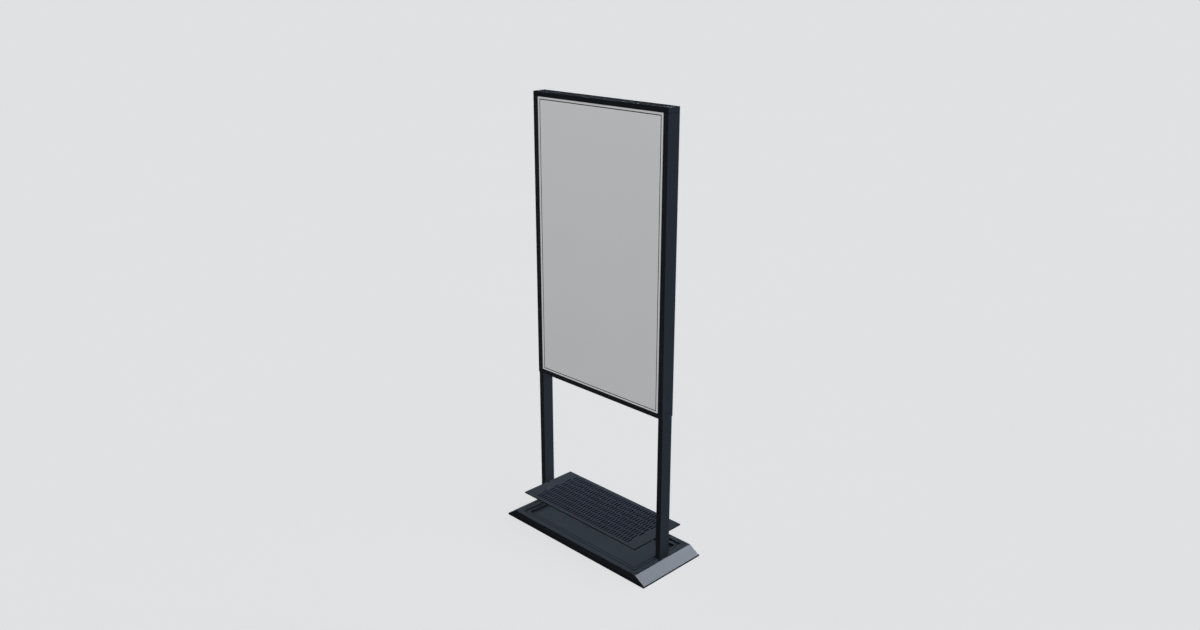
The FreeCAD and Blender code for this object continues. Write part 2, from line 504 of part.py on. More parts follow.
bars = []
for z in BAR_Z:
    b = fuse(box(-POST_IN + 0.3, POST_IN - 0.3, CH_Y1 + 0.1, CH_Y1 + 3.1, z - 20, z + 20),
             box(-POST_IN + 0.3, -POST_IN + 3.3, CH_Y1 + 0.1, 27.0, z - 20, z + 20),
             box(POST_IN - 3.3, POST_IN - 0.3, CH_Y1 + 0.1, 27.0, z - 20, z + 20))
    b = cut(b, *([cyl(sx * 200, CH_Y1 - 1, z, 3.2, 6, (0, 1, 0)) for sx in SIDES] +
                 [cyl(-POST_IN - 1, BR_Y, z + dz, 2.7, 2 * POST_IN + 2, (1, 0, 0)) for dz in (-11, 11)]))
    bars.append(b)
save("crossbar_lower", bars[0])
save("crossbar_upper", bars[1])
save("crossbar_screws", *[button_screw(s * (POST_IN - 3.3), BR_Y, z + dz, (-s, 0, 0), 2.5, 4.6, 2.6, 7.0)
                          for s in SIDES for z in BAR_Z for dz in (-11, 11)])
save("vesa_bolts", *[fuse(hex_prism(s * 200, CH_Y1 + 3.1, z, 10.0, 4.0, (0, 1, 0)),
                          cyl(s * 200, CH_Y1 - 6, z, 3.0, 10.0, (0, 1, 0))) for s in SIDES for z in BAR_Z])

# electronics behind the screen
EL_Y = CH_Y1 + 0.2
psu = box(-300, -180, EL_Y, EL_Y + 24, 800, 965)
psu = round_edges(psu, 2.0, lambda e: e.CenterOfMass.y > EL_Y + 1)
psu = cut(psu, *[box(-290, -190, EL_Y + 22, EL_Y + 26, 815 + 12 * k, 821 + 12 * k) for k in range(12)])
save("power_supply", psu)
pcb = box(-120, 100, EL_Y + 7.8, EL_Y + 9.4, 800, 950)
pcb = cut(pcb, *[cyl(x, EL_Y + 7, z, 1.6, 4, (0, 1, 0)) for x in (-114, 94) for z in (806, 944)])
chips = [box(-60, -20, EL_Y + 9.0, EL_Y + 17, 850, 890), box(10, 50, EL_Y + 9.0, EL_Y + 12, 840, 870),
         box(-100, -84, EL_Y + 9.0, EL_Y + 18, 815, 935), box(0, 60, EL_Y + 9.0, EL_Y + 20, 804, 818)]
save("control_board", fuse(pcb, *chips))
save("board_standoffs", *[fuse(cyl(x, EL_Y, z, 3.2, 7.7, (0, 1, 0)), cyl(x, EL_Y, z, 1.5, 12.0, (0, 1, 0)))
                          for x in (-114, 94) for z in (806, 944)])
mp = box(150, 300, EL_Y, EL_Y + 23, 800, 950)
mp = round_edges(mp, 3.0, lambda e: e.CenterOfMass.y > EL_Y + 1)
mp = cut(mp, *[box(150 - 1, 152, EL_Y + 6, EL_Y + 16, 812 + 26 * k, 828 + 26 * k) for k in range(5)])
save("media_player", mp)

# rear cover, flat sheet with two fields of vent slots, on angle lugs
LUG_Z = [760.0, 1050.0, 1336.0, 1622.0, 1912.0]
LUG_X = [-190.0, 0.0, 190.0]
lugs, lug_pts = [], []
for s in SIDES:
    for z in LUG_Z:
        a = fuse(box(POST_IN - 2.2, POST_IN - 0.2, 27.5, REAR_Y0 - 0.2, z - 15, z + 15),
                 box(POST_IN - 20, POST_IN - 0.2, REAR_Y0 - 2.2, REAR_Y0 - 0.2, z - 15, z + 15))
        a = cut(a, cyl(POST_IN - 11, REAR_Y0 - 4, z, 2.1, 6, (0, 1, 0)))
        lugs.append(a if s > 0 else mirror(a))
        lug_pts.append((s * (POST_IN - 11), z))
for x in LUG_X:
    for z, up in ((ST_Z0 + 0.2, 1), (ST_Z1 - 0.2, -1)):
        a = fuse(box(x - 15, x + 15, 27.5, REAR_Y0 - 0.2, min(z, z + 2 * up), max(z, z + 2 * up)),
                 box(x - 15, x + 15, REAR_Y0 - 2.2, REAR_Y0 - 0.2, min(z, z + 20 * up), max(z, z + 20 * up)))
        zc = z + up * 11
        lugs.append(cut(a, cyl(x, REAR_Y0 - 4, zc, 2.1, 6, (0, 1, 0))))
        lug_pts.append((x, zc))
save("cover_lugs", *lugs)
save("rear_cover_screws", *[button_screw(x, REAR_Y1, z, (0, 1, 0), 2.0, 3.8, 2.2, 6.0) for x, z in lug_pts])

# sheet drawn flat in XY (y of the drawing = z of the part), then stood up
vents = []
for zc in (850.0, 1840.0):
    for row in (-1, 0, 1):
        for k in range(31):
            vents.append(slot_y(-225.0 + 15.0 * k, zc + 56.0 * row, 0, 5.0, 46.0))
screw_holes = [Part.Wire(Part.makeCircle(2.2, V(x, z, 0))) for x, z in lug_pts]
sheet = plate(rrect(-BEZEL_HX, BEZEL_HX, ST_Z0 + 0.6, ST_Z1 - 0.6, 0, 1.5), vents + screw_holes, REAR_Y1 - REAR_Y0)
sheet = along_y(sheet)
sheet.translate(V(0, REAR_Y1, 0))
save("rear_cover", sheet)

# open-cell foam mats behind the vents, against dust
save("vent_filters", *[round_edges(box(-242.0, 242.0, REAR_Y0 - 2.6, REAR_Y0 - 0.1, zc - 88.0, zc + 88.0), 4.0,
                                   lambda e: abs(e.Length - 2.5) < 1e-6) for zc in (850.0, 1840.0)])

# =============================================================================
# Mains side at the back of the base
# =============================================================================
y_out = YS
fl = box(INLET_X - 25, INLET_X + 25, y_out, y_out + 1.8, SOCKET_Z - 12, SOCKET_Z + 12)
fl = round_edges(fl, 3.0, lambda e: abs(e.Length - 1.8) < 1e-6)
body = box(INLET_X - 13.8, INLET_X + 13.8, y_out - 24, y_out, SOCKET_Z - 10.1, SOCKET_Z + 10.1)
inlet = fuse(fl, body)
c14 = poly_prism([(INLET_X + x, y_out - 15, SOCKET_Z + z) for x, z in
                  ((-12.0, -8.2), (12.0, -8.2), (12.0, 3.2), (7.0, 8.2), (-7.0, 8.2), (-12.0, 3.2))], (0, 30, 0))
inlet = cut(inlet, c14, *[csk_hole(INLET_X + dx, y_out + 1.8, SOCKET_Z, (0, 1, 0), 1.6, 2.9, 4) for dx in (-20, 20)])
prongs = [box(INLET_X + x - 1, INLET_X + x + 1, y_out - 16, y_out - 3.4, SOCKET_Z + z - 2, SOCKET_Z + z + 2)
          for x, z in ((-7, -2.0), (7, -2.0), (0, 2.0))]
tabs = [box(INLET_X + x - 2.4, INLET_X + x + 2.4, y_out - 31, y_out - 23.5, SOCKET_Z + z - 0.4, SOCKET_Z + z + 0.4)
        for x, z in ((-7, -2.0), (7, -2.0), (0, 4.0))]
save("power_inlet", fuse(inlet, *(prongs + tabs)))
save("inlet_screws", *[csk_screw(INLET_X + dx, y_out + 1.75, SOCKET_Z, (0, 1, 0), 1.5, 2.75, 8.0, 2.0) for dx in (-20, 20)])

PIV_Y = 173.4
hf = box(SWITCH_X - 11, SWITCH_X + 11, y_out, y_out + 1.4, SOCKET_Z - 7.8, SOCKET_Z + 7.8)
hf = round_edges(hf, 1.2, lambda e: abs(e.Length - 1.4) < 1e-6)
hbody = box(SWITCH_X - 9.4, SWITCH_X + 9.4, y_out - 17, y_out, SOCKET_Z - 6.4, SOCKET_Z + 6.4)
house = cut(fuse(hf, hbody),
            box(SWITCH_X - 8.8, SWITCH_X + 8.8, PIV_Y - 6.5, y_out + 3, SOCKET_Z - 5.1, SOCKET_Z + 5.1),
            cyl(SWITCH_X, PIV_Y, SOCKET_Z - 6.0, 1.45, 12.0))
blades = [box(SWITCH_X + dx - 0.4, SWITCH_X + dx + 0.4, y_out - 24, y_out - 16.5, SOCKET_Z - 2.4, SOCKET_Z + 2.4)
          for dx in (-6, 6)]
save("rocker_housing", fuse(house, *blades))
prof = [(-7.6, 4.6), (0.0, 3.4), (7.6, 4.6), (7.6, 1.2), (2.0, -4.2), (-2.0, -4.2), (-7.6, 1.2)]
rk = poly_prism([(SWITCH_X + x, PIV_Y + y, SOCKET_Z - 4.7) for x, y in prof], (0, 0, 9.4))
rk = fuse(rk, cyl(SWITCH_X, PIV_Y, SOCKET_Z - 5.7, 1.4, 11.4))
rk.rotate(V(SWITCH_X, PIV_Y, SOCKET_Z), V(0, 0, 1), ROCK_DEG)
save("rocker", rk)

# mains lead, held inside the stele all the way: inlet, base, left post, left stile, power supply
R1, R2, R3, R4 = 10.0, 30.0, 24.0, 10.0
z = CABLE_Z
xc = CABLE_X
ys = y_out - 31.3
yr = ys - 1.0 - R1
q = math.sqrt(0.5)
pts = []
edges = []


def seg(a, b):
    edges.append(Part.LineSegment(V(*a), V(*b)).toShape())


def arc(a, m, b):
    edges.append(Part.Arc(V(*a), V(*m), V(*b)).toShape())


p0 = (INLET_X, ys, z)
p1 = (INLET_X, ys - 1.0, z)
seg(p0, p1)
p2 = (INLET_X - R1, yr, z)
arc(p1, (INLET_X - R1 + R1 * q, yr + R1 - R1 * q, z), p2)
p3 = (xc + R2, yr, z)
seg(p2, p3)
p4 = (xc, yr - R2, z)
arc(p3, (xc + R2 - R2 * q, yr - R2 + R2 * q, z), p4)
p5 = (xc, CABLE_Y + R3, z)
seg(p4, p5)
p6 = (xc, CABLE_Y, z + R3)
arc(p5, (xc, CABLE_Y + R3 - R3 * q, z + R3 - R3 * q), p6)
p7 = (xc, CABLE_Y, STILE_EXIT_Z - R4)
seg(p6, p7)
p8 = (xc + R4, CABLE_Y, STILE_EXIT_Z)
arc(p7, (xc + R4 - R4 * q, CABLE_Y, STILE_EXIT_Z - R4 + R4 * q), p8)
p9 = (-300.2, CABLE_Y, STILE_EXIT_Z)
seg(p8, p9)
path = Part.Wire(edges)
circ = Part.Wire(Part.makeCircle(CABLE_R, V(*p0), V(0, -1, 0)))
lead = path.makePipeShell([circ], True, False)
print("mains lead length %.1f mm, volume ratio %.4f, radii %s" %
      (path.Length, lead.Volume / (math.pi * CABLE_R ** 2 * path.Length), (R1, R2, R3, R4)))
save("mains_lead", lead)


def grommet(x, y, zz, d, wall):
    dv = V(*d)
    s0 = -1.5
    a = Part.makeCylinder(6.0, wall + 3.0, V(x + dv.x * s0, y + dv.y * s0, zz + dv.z * s0), dv)
    f1 = Part.makeCylinder(8.0, 1.4, V(x + dv.x * s0, y + dv.y * s0, zz + dv.z * s0), dv)
    e0 = wall + 0.1
    f2 = Part.makeCylinder(8.0, 1.4, V(x + dv.x * e0, y + dv.y * e0, zz + dv.z * e0), dv)
    hole = Part.makeCylinder(4.5, wall + 10, V(x - dv.x * 5, y - dv.y * 5, zz - dv.z * 5), dv)
    return cut(fuse(a, f1, f2), hole)


save("cable_grommets",
     grommet(CABLE_X, POST_Y1, CABLE_Z + 1.2, (0, -1, 0), POST_WALL),
     grommet(-POST_IN, CABLE_Y, STILE_EXIT_Z, (-1, 0, 0), FR_WALL))
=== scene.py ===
import json
import math

import bmesh
import bpy
from mathutils import Matrix, Vector

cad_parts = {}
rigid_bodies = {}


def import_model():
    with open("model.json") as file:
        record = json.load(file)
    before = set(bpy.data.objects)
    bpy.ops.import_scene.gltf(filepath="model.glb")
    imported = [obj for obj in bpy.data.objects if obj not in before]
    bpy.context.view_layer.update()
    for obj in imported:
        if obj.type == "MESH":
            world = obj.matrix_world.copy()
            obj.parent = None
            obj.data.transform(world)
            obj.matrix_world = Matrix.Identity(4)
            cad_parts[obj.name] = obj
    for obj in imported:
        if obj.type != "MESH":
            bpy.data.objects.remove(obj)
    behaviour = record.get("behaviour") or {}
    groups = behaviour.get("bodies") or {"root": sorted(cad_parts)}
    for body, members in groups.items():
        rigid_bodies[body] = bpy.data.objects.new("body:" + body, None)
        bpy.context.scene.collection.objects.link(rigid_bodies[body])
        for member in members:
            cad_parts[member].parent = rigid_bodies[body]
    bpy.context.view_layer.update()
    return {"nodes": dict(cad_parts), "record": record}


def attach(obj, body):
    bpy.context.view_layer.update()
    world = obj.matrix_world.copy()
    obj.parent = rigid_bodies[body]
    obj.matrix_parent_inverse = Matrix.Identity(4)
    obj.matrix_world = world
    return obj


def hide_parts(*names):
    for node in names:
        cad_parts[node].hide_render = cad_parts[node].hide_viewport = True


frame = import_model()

NODES = frame["nodes"]
SCENE = bpy.context.scene
MM = 0.001


# ---------------------------------------------------------------- node helpers
class Look:
    """One procedural material, built node by node."""

    def __init__(self, name):
        self.mat = bpy.data.materials.new(name)
        self.mat.use_nodes = True
        self.tree = self.mat.node_tree
        self.tree.nodes.clear()
        self.out = self.new("ShaderNodeOutputMaterial")
        self.bsdf = self.new("ShaderNodeBsdfPrincipled")
        self.wire(self.bsdf.outputs[0], self.out.inputs["Surface"])
        self.at = self.new("ShaderNodeTexCoord").outputs["Object"]
        self.geo = self.new("ShaderNodeNewGeometry")

    def new(self, kind):
        return self.tree.nodes.new(kind)

    def wire(self, a, b):
        self.tree.links.new(a, b)

    def put(self, socket, value):
        if isinstance(value, bpy.types.NodeSocket):
            self.wire(value, socket)
        else:
            socket.default_value = value

    def stretch(self, sx, sy, sz):
        """Object coordinates scaled per axis, for streaks and brushing."""
        n = self.new("ShaderNodeMapping")
        n.inputs["Scale"].default_value = (sx, sy, sz)
        self.wire(self.at, n.inputs["Vector"])
        return n.outputs[0]

    def noise(self, scale, detail=2.0, rough=0.5, at=None, warp=0.0):
        n = self.new("ShaderNodeTexNoise")
        n.inputs["Scale"].default_value = scale
        n.inputs["Detail"].default_value = detail
        n.inputs["Roughness"].default_value = rough
        n.inputs["Distortion"].default_value = warp
        self.wire(at or self.at, n.inputs["Vector"])
        return n.outputs[0]

    def cells(self, scale, at=None, out="Distance", feature="F1"):
        n = self.new("ShaderNodeTexVoronoi")
        n.feature = feature
        n.inputs["Scale"].default_value = scale
        self.wire(at or self.at, n.inputs["Vector"])
        return n.outputs[out]

    def math(self, op, a, b=None, c=None, clamp=False):
        n = self.new("ShaderNodeMath")
        n.operation = op
        n.use_clamp = clamp
        self.put(n.inputs[0], a)
        if b is not None:
            self.put(n.inputs[1], b)
        if c is not None:
            self.put(n.inputs[2], c)
        return n.outputs[0]

    def span(self, value, lo, hi, to_lo=0.0, to_hi=1.0, smooth=True):
        n = self.new("ShaderNodeMapRange")
        n.interpolation_type = "SMOOTHSTEP" if smooth else "LINEAR"
        self.put(n.inputs["Value"], value)
        n.inputs["From Min"].default_value = lo
        n.inputs["From Max"].default_value = hi
        n.inputs["To Min"].default_value = to_lo
        n.inputs["To Max"].default_value = to_hi
        return n.outputs[0]

    def mix(self, fac, a, b, blend="MIX"):
        n = self.new("ShaderNodeMix")
        n.data_type = "RGBA"
        n.blend_type = blend
        self.put(n.inputs["Factor"], fac)
        for key, v in (("A", a), ("B", b)):
            s = next(i for i in n.inputs if i.name == key and i.type == "RGBA")
            self.put(s, v if isinstance(v, bpy.types.NodeSocket) else (*v[:3], 1.0))
        return next(o for o in n.outputs if o.type == "RGBA")

    def axis(self, vector, which):
        n = self.new("ShaderNodeSeparateXYZ")
        self.wire(vector, n.inputs[0])
        return n.outputs[which]

    def up(self, lo=0.75, hi=0.98):
        """1 on faces that look up, where dust settles."""
        return self.span(self.axis(self.geo.outputs["Normal"], 2), lo, hi)

    def edge(self, radius, lo=0.02, hi=0.22, samples=4):
        """1 along edges, within radius of them."""
        b = self.new("ShaderNodeBevel")
        b.samples = samples
        b.inputs["Radius"].default_value = radius
        d = self.new("ShaderNodeVectorMath")
        d.operation = "DOT_PRODUCT"
        self.wire(b.outputs[0], d.inputs[0])
        self.wire(self.geo.outputs["Normal"], d.inputs[1])
        return self.span(self.math("SUBTRACT", 1.0, d.outputs["Value"]), lo, hi)

    def bump(self, *layers):
        """layers of (height, strength, distance in metres)."""
        last = None
        for height, strength, distance in layers:
            n = self.new("ShaderNodeBump")
            n.inputs["Strength"].default_value = strength
            n.inputs["Distance"].default_value = distance
            self.wire(height, n.inputs["Height"])
            if last is not None:
                self.wire(last, n.inputs["Normal"])
            last = n.outputs[0]
        self.wire(last, self.bsdf.inputs["Normal"])

    def set(self, **inputs):
        for key, value in inputs.items():
            s = self.bsdf.inputs[key.replace("_", " ")]
            if s.type == "RGBA" and not isinstance(value, bpy.types.NodeSocket):
                value = (*value[:3], 1.0)
            self.put(s, value)
        return self


def powder_coat(name, base, rough=0.44, grain=1.0, dust=0.5, wear=0.5, scuff=0.0, gloss=0.5):
    """Satin powder coat over steel: orange peel, fine fleck, faint dust on the tops, rubbed edges."""
    k = Look(name)
    cloud = k.noise(2.6, 3.0, 0.55)
    mid = k.noise(85.0, 4.0, 0.6)
    peel = k.noise(640.0, 2.0, 0.5)
    fleck = k.noise(2600.0, 1.0, 0.5)
    dark = tuple(c * 0.86 for c in base)
    light = tuple(c * 1.16 for c in base)
    colour = k.mix(k.span(cloud, 0.32, 0.68), dark, light)
    colour = k.mix(k.span(fleck, 0.60, 0.78, 0.0, 0.30), colour, tuple(c * 1.9 + 0.001 for c in base))
    settled = k.math("MULTIPLY", k.up(), k.span(mid, 0.44, 0.80, 0.0, 0.16 * dust))
    colour = k.mix(settled, colour, (0.040, 0.045, 0.053))
    rim = k.math("MULTIPLY", k.edge(1.2 * MM), k.span(mid, 0.36, 0.70, 0.08, 0.60 * wear))
    colour = k.mix(rim, colour, (0.022, 0.026, 0.032))
    r = k.span(mid, 0.25, 0.75, rough - 0.010, rough + 0.012, smooth=False)
    r = k.math("ADD", r, k.span(cloud, 0.3, 0.7, -0.006, 0.008))
    r = k.math("ADD", r, k.math("MULTIPLY", settled, 0.30))
    r = k.math("SUBTRACT", r, k.math("MULTIPLY", rim, 0.05), clamp=True)
    if scuff:
        lines = k.noise(7.0, 3.0, 0.6, at=k.stretch(3.0, 26.0, 8.0), warp=0.6)
        rub = k.math("MULTIPLY", k.span(lines, 0.64, 0.71), k.span(cloud, 0.48, 0.64, 0.0, scuff))
        colour = k.mix(k.math("MULTIPLY", rub, 0.16), colour, (0.040, 0.045, 0.053))
        r = k.math("ADD", r, k.math("MULTIPLY", rub, 0.05), clamp=True)
    k.set(Base_Color=colour, Roughness=r, Metallic=0.0)
    k.bsdf.inputs["Specular IOR Level"].default_value = gloss
    k.bump((peel, 0.16 * grain, 0.00010), (fleck, 0.10 * grain, 0.00003))
    return k.mat


def metal(name, base, rough, brushed=None, spangle=0.0, tint=(0.5, 0.5, 0.5)):
    """Bare, zinc plated or blackened steel and aluminium."""
    k = Look(name)
    cloud = k.noise(18.0, 4.0, 0.6)
    fine = k.noise(420.0, 3.0, 0.6)
    lines = k.noise(60.0, 3.0, 0.65, at=k.stretch(*(brushed or (1.0, 1.0, 14.0))))
    colour = k.mix(k.span(cloud, 0.3, 0.7), tuple(c * 0.84 for c in base), tuple(min(1.0, c * 1.10) for c in base))
    colour = k.mix(k.span(lines, 0.35, 0.70, 0.0, 0.30), colour, tuple(c * 0.70 for c in base))
    if spangle:
        patch = k.cells(130.0, out="Color")
        bright = k.axis(patch, 0)
        colour = k.mix(k.span(bright, 0.1, 0.9, 0.0, spangle), colour, tint)
    rim = k.edge(0.5 * MM)
    colour = k.mix(k.math("MULTIPLY", rim, 0.35), colour, tuple(min(1.0, c * 1.35 + 0.02) for c in base))
    r = k.span(fine, 0.25, 0.75, rough - 0.06, rough + 0.09, smooth=False)
    r = k.math("ADD", r, k.span(lines, 0.3, 0.7, -0.03, 0.05), clamp=True)
    k.set(Base_Color=colour, Roughness=r, Metallic=1.0)
    k.bump((lines, 0.10, 0.00005), (fine, 0.08, 0.00004))
    return k.mat


def polymer(name, base, rough, grain=420.0, depth=0.00006, strength=0.30, wear=0.3, ior=0.5):
    """Moulded plastic or rubber with a spark-eroded grain."""
    k = Look(name)
    cloud = k.noise(22.0, 3.0, 0.55)
    pits = k.noise(grain * 2.2, 2.0, 0.55)
    cell = k.cells(grain)
    colour = k.mix(k.span(cloud, 0.3, 0.7), tuple(c * 0.80 for c in base), tuple(c * 1.25 for c in base))
    rim = k.math("MULTIPLY", k.edge(0.6 * MM), k.span(cloud, 0.35, 0.7, 0.1, wear))
    colour = k.mix(rim, colour, tuple(c * 2.4 + 0.012 for c in base))
    r = k.span(pits, 0.3, 0.7, rough - 0.06, rough + 0.08, smooth=False)
    k.set(Base_Color=colour, Roughness=r, Metallic=0.0)
    k.bsdf.inputs["Specular IOR Level"].default_value = ior
    k.bump((cell, strength, depth), (pits, strength * 0.5, depth * 0.6))
    return k.mat


def display_glass(name):
    """Matt anti-glare front of the display, switched off to a plain grey, with painted shading that runs lighter
    towards the top.
    """
    k = Look(name)
    height = k.axis(k.at, 2)
    haze = k.noise(3.0, 3.0, 0.5)
    sparkle = k.noise(3400.0, 1.0, 0.5)
    wipe = k.noise(5.0, 3.0, 0.55, at=k.stretch(1.0, 1.0, 5.5), warp=0.5)
    # painted shading: the screen's grey runs lighter from bottom to top, standing in for how the light falls on it
    tone = k.span(height, 0.73, 1.94, 0.0, 1.0, smooth=False)
    colour = k.mix(tone, (0.611, 0.613, 0.612), (0.682, 0.683, 0.680))
    colour = k.mix(k.span(haze, 0.3, 0.7, 0.0, 0.16), colour, (0.700, 0.701, 0.698))
    colour = k.mix(k.span(sparkle, 0.30, 0.75, 0.0, 0.10), colour, (0.538, 0.543, 0.552))
    r = k.span(wipe, 0.3, 0.7, 0.50, 0.58)
    r = k.math("ADD", r, k.span(sparkle, 0.3, 0.7, -0.03, 0.03), clamp=True)
    k.set(Base_Color=colour, Roughness=r, Metallic=0.0)
    k.bsdf.inputs["Specular IOR Level"].default_value = 0.35
    k.bump((sparkle, 0.12, 0.00003), (wipe, 0.02, 0.0003))
    return k.mat


def border_lacquer(name):
    """Light grey lacquer of the display's border."""
    k = Look(name)
    cloud = k.noise(9.0, 3.0, 0.5)
    fine = k.noise(900.0, 2.0, 0.5)
    colour = k.mix(k.span(cloud, 0.3, 0.7), (0.634, 0.635, 0.631), (0.675, 0.674, 0.669))
    rim = k.math("MULTIPLY", k.edge(0.8 * MM), 0.25)
    colour = k.mix(rim, colour, (0.487, 0.487, 0.488))
    skirt = k.span(k.axis(k.at, 1), -0.0160, -0.0152)      # bare black plastic behind the lacquered front
    colour = k.mix(skirt, colour, (0.010, 0.010, 0.011))
    r = k.span(fine, 0.3, 0.7, 0.44, 0.54)
    k.set(Base_Color=colour, Roughness=r)
    k.bsdf.inputs["Specular IOR Level"].default_value = 0.35
    k.bump((fine, 0.12, 0.00005))
    return k.mat


def fleece(name):
    """Black needled fleece: short matted fibres, no gloss."""
    k = Look(name)
    fibre = k.noise(900.0, 4.0, 0.7, at=k.stretch(1.0, 3.5, 1.0), warp=1.4)
    cross = k.noise(760.0, 4.0, 0.7, at=k.stretch(3.2, 1.0, 1.0), warp=1.2)
    clump = k.noise(120.0, 3.0, 0.6)
    mat = k.math("MAXIMUM", fibre, cross)
    colour = k.mix(k.span(mat, 0.45, 0.72), (0.0024, 0.0025, 0.0029), (0.0085, 0.0088, 0.0098))
    colour = k.mix(k.span(clump, 0.35, 0.7, 0.0, 0.5), colour, (0.0018, 0.0019, 0.0022))
    k.set(Base_Color=colour, Roughness=k.span(mat, 0.3, 0.7, 0.86, 0.97))
    k.bsdf.inputs["Specular IOR Level"].default_value = 0.05
    k.bump((mat, 0.8, 0.0006), (clump, 0.4, 0.0010))
    return k.mat


def circuit_board(name):
    """Green solder mask with copper runs under it."""
    k = Look(name)
    runs = k.new("ShaderNodeTexBrick")
    runs.inputs["Scale"].default_value = 90.0
    runs.inputs["Mortar Size"].default_value = 0.06
    k.wire(k.stretch(1.0, 1.0, 1.0), runs.inputs["Vector"])
    cloud = k.noise(30.0, 3.0, 0.5)
    fine = k.noise(1500.0, 1.0, 0.5)
    track = k.span(runs.outputs["Fac"], 0.3, 0.7)
    colour = k.mix(track, (0.006, 0.060, 0.026), (0.014, 0.115, 0.048))
    colour = k.mix(k.span(cloud, 0.3, 0.7, 0.0, 0.4), colour, (0.004, 0.045, 0.022))
    k.set(Base_Color=colour, Roughness=k.span(fine, 0.3, 0.7, 0.28, 0.40))
    k.bump((track, 0.25, 0.00005), (fine, 0.05, 0.00003))
    return k.mat


ANTHRACITE = (0.0036, 0.0047, 0.0066)
BLACK = (0.0030, 0.0034, 0.0043)
LOOKS = {
    "frame_paint": powder_coat("frame_powder_coat", ANTHRACITE, rough=0.43, dust=0.30, wear=0.35),
    "base_paint": powder_coat("base_powder_coat", ANTHRACITE, rough=0.42, dust=0.40, wear=0.45, scuff=0.3),
    "cover_paint": powder_coat("cover_powder_coat", ANTHRACITE, rough=0.42, dust=0.40, wear=0.45),
    "grille_paint": powder_coat("grille_powder_coat", BLACK, rough=0.62, dust=0.5, wear=0.2, gloss=0.2),
    "plate_edge": powder_coat("matt_black_coat", BLACK, rough=0.66, dust=0.3, wear=0.3, gloss=0.16),
    # the slot walls get a lighter, bluer copy of the cover's coat: painted light, standing in for the bluish light the
    # walls catch
    "slot_wall": powder_coat("slot_wall_painted_light_coat", (0.014, 0.025, 0.050), rough=0.60, dust=0.2, wear=0.1, gloss=0.16),
    "raw_steel": metal("mill_steel", (0.30, 0.30, 0.31), 0.46, brushed=(1.0, 9.0, 9.0)),
    "zinc_steel": metal("zinc_plate", (0.62, 0.63, 0.65), 0.34, spangle=0.35, tint=(0.72, 0.73, 0.75)),
    "black_steel": metal("black_oxide", (0.022, 0.023, 0.026), 0.42),
    "chassis_alu": metal("sheet_aluminium", (0.70, 0.71, 0.72), 0.38, brushed=(1.0, 1.0, 22.0)),
    "bezel_grey": border_lacquer("border_lacquer"),
    "panel_grey": display_glass("display_glass"),
    "gasket_black": polymer("gasket_rubber", (0.0050, 0.0052, 0.0058), 0.80, grain=700.0, ior=0.15),
    "rubber_black": polymer("moulded_rubber", (0.0052, 0.0054, 0.0060), 0.82, grain=520.0, ior=0.12),
    "filter_foam": polymer("open_cell_foam", (0.0045, 0.0047, 0.0052), 0.92, grain=480.0, depth=0.0008, strength=0.9, wear=0.1, ior=0.03),
    "liner_fleece": fleece("needled_fleece"),
    "black_plastic": polymer("moulded_plastic", (0.012, 0.012, 0.014), 0.50, grain=620.0),
    "rocker_black": polymer("rocker_plastic", (0.010, 0.010, 0.011), 0.34, grain=800.0, strength=0.12),
    "lead_black": polymer("lead_sheath", (0.012, 0.012, 0.013), 0.48, grain=900.0, strength=0.15),
    "board_green": circuit_board("solder_mask"),
    "mark_white": polymer("marking_plastic", (0.52, 0.52, 0.50), 0.52, grain=900.0, strength=0.10, wear=0.1),
}
for node in NODES.values():
    for place in node.material_slots:
        place.material = LOOKS[place.material.name.split(".")[0]]
# the base plate gets the matt black coat, darker than the frame's paint: in part painted shade, standing in for the
# floor's contact shade along its edge
NODES["base_plate"].material_slots[0].material = LOOKS["plate_edge"]
NODES["carrier_screws"].material_slots[0].material = LOOKS["plate_edge"]
NODES["vent_filters"].material_slots[0].material = LOOKS["filter_foam"]


# ---------------------------------------------------------------- punched sheets
def stadium(cx, cy, w, length, grow=0.0, n=9):
    """Outline of a slot with round ends, long along the second axis."""
    r, s = w / 2 + grow, length / 2 - w / 2
    top = [(cx + r * math.cos(math.pi * k / n), cy + s + r * math.sin(math.pi * k / n)) for k in range(n + 1)]
    low = [(cx - r * math.cos(math.pi * k / n), cy - s - r * math.sin(math.pi * k / n)) for k in range(n + 1)]
    return top + low


def oblong(x0, x1, y0, y1, r, grow=0.0, n=5):
    """Outline of a rounded rectangle."""
    pts = []
    for cx, cy, a0 in ((x1 - r, y1 - r, 0), (x0 + r, y1 - r, 90), (x0 + r, y0 + r, 180), (x1 - r, y0 + r, 270)):
        for k in range(n + 1):
            a = math.radians(a0 + 90.0 * k / n)
            pts.append((cx + (r + grow) * math.cos(a), cy + (r + grow) * math.sin(a)))
    return pts


def disc(cx, cy, r, n=28):
    return [(cx + r * math.cos(2 * math.pi * k / n), cy + r * math.sin(2 * math.pi * k / n)) for k in range(n)]


def offset(pts, grow):
    """A closed outline, drawn anticlockwise, moved outwards by grow."""
    out = []
    for k, (x, y) in enumerate(pts):
        (ax, ay), (bx, by) = pts[k - 1], pts[(k + 1) % len(pts)]
        d1, d2 = Vector((x - ax, y - ay)).normalized(), Vector((bx - x, by - y)).normalized()
        n1, n2 = Vector((d1.y, -d1.x)), Vector((d2.y, -d2.x))
        m = (n1 + n2) * grow / (1.0 + n1.dot(n2))
        out.append((x + m.x, y + m.y))
    return out


